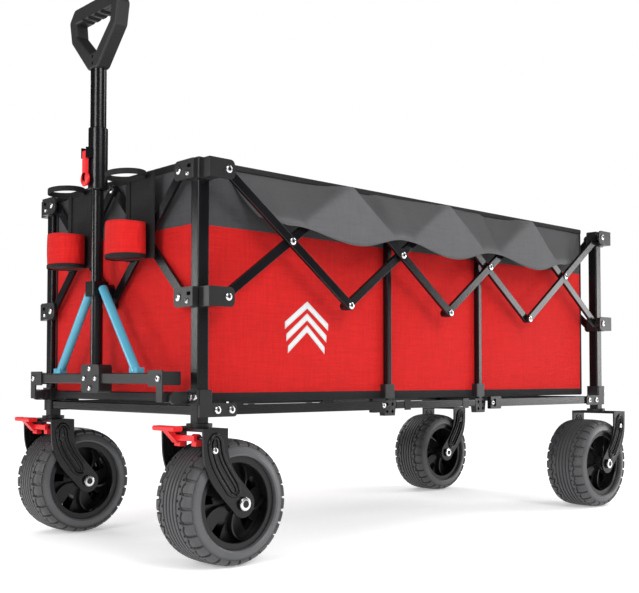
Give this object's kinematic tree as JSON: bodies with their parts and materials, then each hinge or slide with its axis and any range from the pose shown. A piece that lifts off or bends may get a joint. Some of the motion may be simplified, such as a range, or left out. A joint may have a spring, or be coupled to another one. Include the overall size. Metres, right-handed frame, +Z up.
{
  "type": "beach cart",
  "caption": "Long folding beach cart with a scissor-sided steel frame, cloth tub, wide ribbed wheels, braked front castors and a telescoping pull handle.",
  "frame": {"origin": "middle of the footprint, on the ground", "axes": "+X forward to the handle end, +Y to the left side, +Z up"},
  "size_m": [1.3134, 0.6082, 0.966],
  "materials": {
    "frame_paint": "satin black powder coat",
    "bracket_plastic": "fine-grained black moulded plastic",
    "grip_plastic": "soft black moulded grip",
    "rim_plastic": "glossy black moulded wheel",
    "tyre_rubber": "grey-black ribbed rubber",
    "brake_red": "red moulded plastic",
    "brace_blue": "glossy ice blue",
    "tub_cloth": "red woven polyester with a dark grey top band",
    "pocket_cloth": "red woven polyester with black binding"
  },
  "bodies": {
    "front_frame": {"front_posts": "frame_paint", "front_top_brackets": "bracket_plastic", "front_mid_brackets": "bracket_plastic", "front_feet": "bracket_plastic", "front_cross_tube": "frame_paint", "front_end_bars": "frame_paint", "tub": "tub_cloth", "cup_holders": "pocket_cloth"},
    "rear_frame": {"rear_posts": "frame_paint", "rear_top_brackets": "bracket_plastic", "rear_mid_brackets": "bracket_plastic", "rear_feet": "bracket_plastic", "rear_cross_tube": "frame_paint", "rear_end_bars": "frame_paint", "rear_forks": "frame_paint"},
    "centre_frame": {"centre_posts": "frame_paint", "centre_brackets": "bracket_plastic", "centre_rails": "frame_paint"},
    "left_a1": {"left_bar_a1": "frame_paint"},
    "left_a2": {"left_bar_a2": "frame_paint"},
    "left_a3": {"left_bar_a3": "frame_paint"},
    "left_a4": {"left_bar_a4": "frame_paint"},
    "left_b1": {"left_bar_b1": "frame_paint"},
    "left_b2": {"left_bar_b2": "frame_paint"},
    "left_b3": {"left_bar_b3": "frame_paint"},
    "left_b4": {"left_bar_b4": "frame_paint"},
    "left_front_slider": {"left_front_slider": "bracket_plastic"},
    "left_front_rail": {"left_front_rail": "frame_paint"},
    "left_rear_slider": {"left_rear_slider": "bracket_plastic"},
    "left_rear_rail": {"left_rear_rail": "frame_paint"},
    "right_a1": {"right_bar_a1": "frame_paint"},
    "right_a2": {"right_bar_a2": "frame_paint"},
    "right_a3": {"right_bar_a3": "frame_paint"},
    "right_a4": {"right_bar_a4": "frame_paint"},
    "right_b1": {"right_bar_b1": "frame_paint"},
    "right_b2": {"right_bar_b2": "frame_paint"},
    "right_b3": {"right_bar_b3": "frame_paint"},
    "right_b4": {"right_bar_b4": "frame_paint"},
    "right_front_slider": {"right_front_slider": "bracket_plastic"},
    "right_front_rail": {"right_front_rail": "frame_paint"},
    "right_rear_slider": {"right_rear_slider": "bracket_plastic"},
    "right_rear_rail": {"right_rear_rail": "frame_paint"},
    "left_front_castor": {"left_front_fork": "frame_paint"},
    "left_brake": {"left_brake_pedal": "brake_red"},
    "left_front_wheel": {"left_front_tyre": "tyre_rubber", "left_front_rim": "rim_plastic"},
    "left_rear_wheel": {"left_rear_tyre": "tyre_rubber", "left_rear_rim": "rim_plastic"},
    "right_front_castor": {"right_front_fork": "frame_paint"},
    "right_brake": {"right_brake_pedal": "brake_red"},
    "right_front_wheel": {"right_front_tyre": "tyre_rubber", "right_front_rim": "rim_plastic"},
    "right_rear_wheel": {"right_rear_tyre": "tyre_rubber", "right_rear_rim": "rim_plastic"},
    "handle_base": {"handle_yoke": "frame_paint", "handle_braces": "brace_blue", "handle_lower_tube": "frame_paint"},
    "handle_top": {"handle_upper_tube": "frame_paint", "handle_grip": "grip_plastic"},
    "release_lever": {"release_lever": "brake_red"}
  },
  "joints": [
    {"name": "fold", "type": "hinge", "parent": "front_frame", "child": "left_a1", "pos_m": [0.54585, 0.271, 0.635], "axis": [0, -1, 0], "range_deg": [0, 40], "deforming": ["tub"]},
    {"name": "left_low_joint_1", "type": "hinge", "parent": "left_a1", "child": "left_a2", "pos_m": [0.26635, 0.271, 0.43], "axis": [0, 1, 0], "range_deg": [0, 80]},
    {"name": "left_top_joint_2", "type": "hinge", "parent": "left_a2", "child": "left_a3", "pos_m": [-0.01315, 0.271, 0.635], "axis": [0, -1, 0], "range_deg": [0, 80]},
    {"name": "left_low_joint_3", "type": "hinge", "parent": "left_a3", "child": "left_a4", "pos_m": [-0.29265, 0.271, 0.43], "axis": [0, 1, 0], "range_deg": [0, 80]},
    {"name": "left_crossing_1", "type": "hinge", "parent": "left_a1", "child": "left_b1", "pos_m": [0.4061, 0.271, 0.5325], "axis": [0, 1, 0], "range_deg": [0, 80]},
    {"name": "left_crossing_2", "type": "hinge", "parent": "left_a2", "child": "left_b2", "pos_m": [0.1266, 0.271, 0.5325], "axis": [0, -1, 0], "range_deg": [0, 80]},
    {"name": "left_crossing_3", "type": "hinge", "parent": "left_a3", "child": "left_b3", "pos_m": [-0.1529, 0.271, 0.5325], "axis": [0, 1, 0], "range_deg": [0, 80]},
    {"name": "left_crossing_4", "type": "hinge", "parent": "left_a4", "child": "left_b4", "pos_m": [-0.4324, 0.271, 0.5325], "axis": [0, -1, 0], "range_deg": [0, 80]},
    {"name": "left_front_slider_pivot", "type": "hinge", "parent": "left_b1", "child": "left_front_slider", "pos_m": [0.54585, 0.271, 0.43], "axis": [0, -1, 0], "range_deg": [0, 40]},
    {"name": "left_rear_slider_pivot", "type": "hinge", "parent": "left_b4", "child": "left_rear_slider", "pos_m": [-0.57215, 0.271, 0.43], "axis": [0, 1, 0], "range_deg": [0, 40]},
    {"name": "left_front_rail_hinge", "type": "hinge", "parent": "front_frame", "child": "left_front_rail", "pos_m": [0.54985, 0.271, 0.249], "axis": [0, 1, 0], "range_deg": [0, 86]},
    {"name": "left_rear_rail_hinge", "type": "hinge", "parent": "rear_frame", "child": "left_rear_rail", "pos_m": [-0.57615, 0.271, 0.249], "axis": [0, -1, 0], "range_deg": [0, 86]},
    {"name": "rear_frame_pivot", "type": "hinge", "parent": "left_a4", "child": "rear_frame", "pos_m": [-0.57215, 0.271, 0.635], "axis": [0, -1, 0], "range_deg": [0, 40]},
    {"name": "centre_frame_pivot", "type": "hinge", "parent": "left_a2", "child": "centre_frame", "pos_m": [-0.01315, 0.271, 0.635], "axis": [0, -1, 0], "range_deg": [0, 40]},
    {"name": "right_fold", "type": "hinge", "parent": "front_frame", "child": "right_a1", "pos_m": [0.54585, -0.271, 0.635], "axis": [0, -1, 0], "range_deg": [0, 40]},
    {"name": "right_low_joint_1", "type": "hinge", "parent": "right_a1", "child": "right_a2", "pos_m": [0.26635, -0.271, 0.43], "axis": [0, 1, 0], "range_deg": [0, 80]},
    {"name": "right_top_joint_2", "type": "hinge", "parent": "right_a2", "child": "right_a3", "pos_m": [-0.01315, -0.271, 0.635], "axis": [0, -1, 0], "range_deg": [0, 80]},
    {"name": "right_low_joint_3", "type": "hinge", "parent": "right_a3", "child": "right_a4", "pos_m": [-0.29265, -0.271, 0.43], "axis": [0, 1, 0], "range_deg": [0, 80]},
    {"name": "right_crossing_1", "type": "hinge", "parent": "right_a1", "child": "right_b1", "pos_m": [0.4061, -0.271, 0.5325], "axis": [0, 1, 0], "range_deg": [0, 80]},
    {"name": "right_crossing_2", "type": "hinge", "parent": "right_a2", "child": "right_b2", "pos_m": [0.1266, -0.271, 0.5325], "axis": [0, -1, 0], "range_deg": [0, 80]},
    {"name": "right_crossing_3", "type": "hinge", "parent": "right_a3", "child": "right_b3", "pos_m": [-0.1529, -0.271, 0.5325], "axis": [0, 1, 0], "range_deg": [0, 80]},
    {"name": "right_crossing_4", "type": "hinge", "parent": "right_a4", "child": "right_b4", "pos_m": [-0.4324, -0.271, 0.5325], "axis": [0, -1, 0], "range_deg": [0, 80]},
    {"name": "right_front_slider_pivot", "type": "hinge", "parent": "right_b1", "child": "right_front_slider", "pos_m": [0.54585, -0.271, 0.43], "axis": [0, -1, 0], "range_deg": [0, 40]},
    {"name": "right_rear_slider_pivot", "type": "hinge", "parent": "right_b4", "child": "right_rear_slider", "pos_m": [-0.57215, -0.271, 0.43], "axis": [0, 1, 0], "range_deg": [0, 40]},
    {"name": "right_front_rail_hinge", "type": "hinge", "parent": "front_frame", "child": "right_front_rail", "pos_m": [0.54985, -0.271, 0.249], "axis": [0, 1, 0], "range_deg": [0, 86]},
    {"name": "right_rear_rail_hinge", "type": "hinge", "parent": "rear_frame", "child": "right_rear_rail", "pos_m": [-0.57615, -0.271, 0.249], "axis": [0, -1, 0], "range_deg": [0, 86]},
    {"name": "left_castor_swivel", "type": "hinge", "parent": "front_frame", "child": "left_front_castor", "pos_m": [0.57385, 0.241, 0.222], "axis": [0, 0, 1], "continuous": true},
    {"name": "left_brake_press", "type": "hinge", "parent": "left_front_castor", "child": "left_brake", "pos_m": [0.59985, 0.241, 0.207], "axis": [0, 1, 0], "range_deg": [0, 20]},
    {"name": "left_front_wheel_spin", "type": "hinge", "parent": "left_front_castor", "child": "left_front_wheel", "pos_m": [0.52885, 0.241, 0.1016], "axis": [0, 1, 0], "continuous": true},
    {"name": "left_rear_wheel_spin", "type": "hinge", "parent": "rear_frame", "child": "left_rear_wheel", "pos_m": [-0.55515, 0.241, 0.1016], "axis": [0, 1, 0], "continuous": true},
    {"name": "right_castor_swivel", "type": "hinge", "parent": "front_frame", "child": "right_front_castor", "pos_m": [0.57385, -0.241, 0.222], "axis": [0, 0, 1], "continuous": true},
    {"name": "right_brake_press", "type": "hinge", "parent": "right_front_castor", "child": "right_brake", "pos_m": [0.59985, -0.241, 0.207], "axis": [0, 1, 0], "range_deg": [0, 20]},
    {"name": "right_front_wheel_spin", "type": "hinge", "parent": "right_front_castor", "child": "right_front_wheel", "pos_m": [0.52885, -0.241, 0.1016], "axis": [0, 1, 0], "continuous": true},
    {"name": "right_rear_wheel_spin", "type": "hinge", "parent": "rear_frame", "child": "right_rear_wheel", "pos_m": [-0.55515, -0.241, 0.1016], "axis": [0, 1, 0], "continuous": true},
    {"name": "handle_tilt", "type": "hinge", "parent": "front_frame", "child": "handle_base", "pos_m": [0.61385, 0, 0.27], "axis": [0, 1, 0], "range_deg": [0, 95]},
    {"name": "handle_extend", "type": "slide", "parent": "handle_base", "child": "handle_top", "axis": [0, 0, 1], "range_m": [-0.04, 0.05]},
    {"name": "release_squeeze", "type": "hinge", "parent": "handle_top", "child": "release_lever", "pos_m": [0.64285, 0, 0.693], "axis": [0, 1, 0], "range_deg": [0, 4], "stiffness_Nm_per_rad": 0.3}
  ],
  "couplings": [
    {"joint": "left_low_joint_1", "follows": "fold", "ratio": 2},
    {"joint": "left_top_joint_2", "follows": "fold", "ratio": 2},
    {"joint": "left_low_joint_3", "follows": "fold", "ratio": 2},
    {"joint": "left_crossing_1", "follows": "fold", "ratio": 2},
    {"joint": "left_crossing_2", "follows": "fold", "ratio": 2},
    {"joint": "left_crossing_3", "follows": "fold", "ratio": 2},
    {"joint": "left_crossing_4", "follows": "fold", "ratio": 2},
    {"joint": "left_front_slider_pivot", "follows": "fold", "ratio": 1},
    {"joint": "left_rear_slider_pivot", "follows": "fold", "ratio": 1},
    {"joint": "left_front_rail_hinge", "follows": "fold", "ratio": 2.15},
    {"joint": "left_rear_rail_hinge", "follows": "fold", "ratio": 2.15},
    {"joint": "rear_frame_pivot", "follows": "fold", "ratio": 1},
    {"joint": "centre_frame_pivot", "follows": "fold", "ratio": 1},
    {"joint": "right_fold", "follows": "fold", "ratio": 1},
    {"joint": "right_low_joint_1", "follows": "fold", "ratio": 2},
    {"joint": "right_top_joint_2", "follows": "fold", "ratio": 2},
    {"joint": "right_low_joint_3", "follows": "fold", "ratio": 2},
    {"joint": "right_crossing_1", "follows": "fold", "ratio": 2},
    {"joint": "right_crossing_2", "follows": "fold", "ratio": 2},
    {"joint": "right_crossing_3", "follows": "fold", "ratio": 2},
    {"joint": "right_crossing_4", "follows": "fold", "ratio": 2},
    {"joint": "right_front_slider_pivot", "follows": "fold", "ratio": 1},
    {"joint": "right_rear_slider_pivot", "follows": "fold", "ratio": 1},
    {"joint": "right_front_rail_hinge", "follows": "fold", "ratio": 2.15},
    {"joint": "right_rear_rail_hinge", "follows": "fold", "ratio": 2.15}
  ]
}
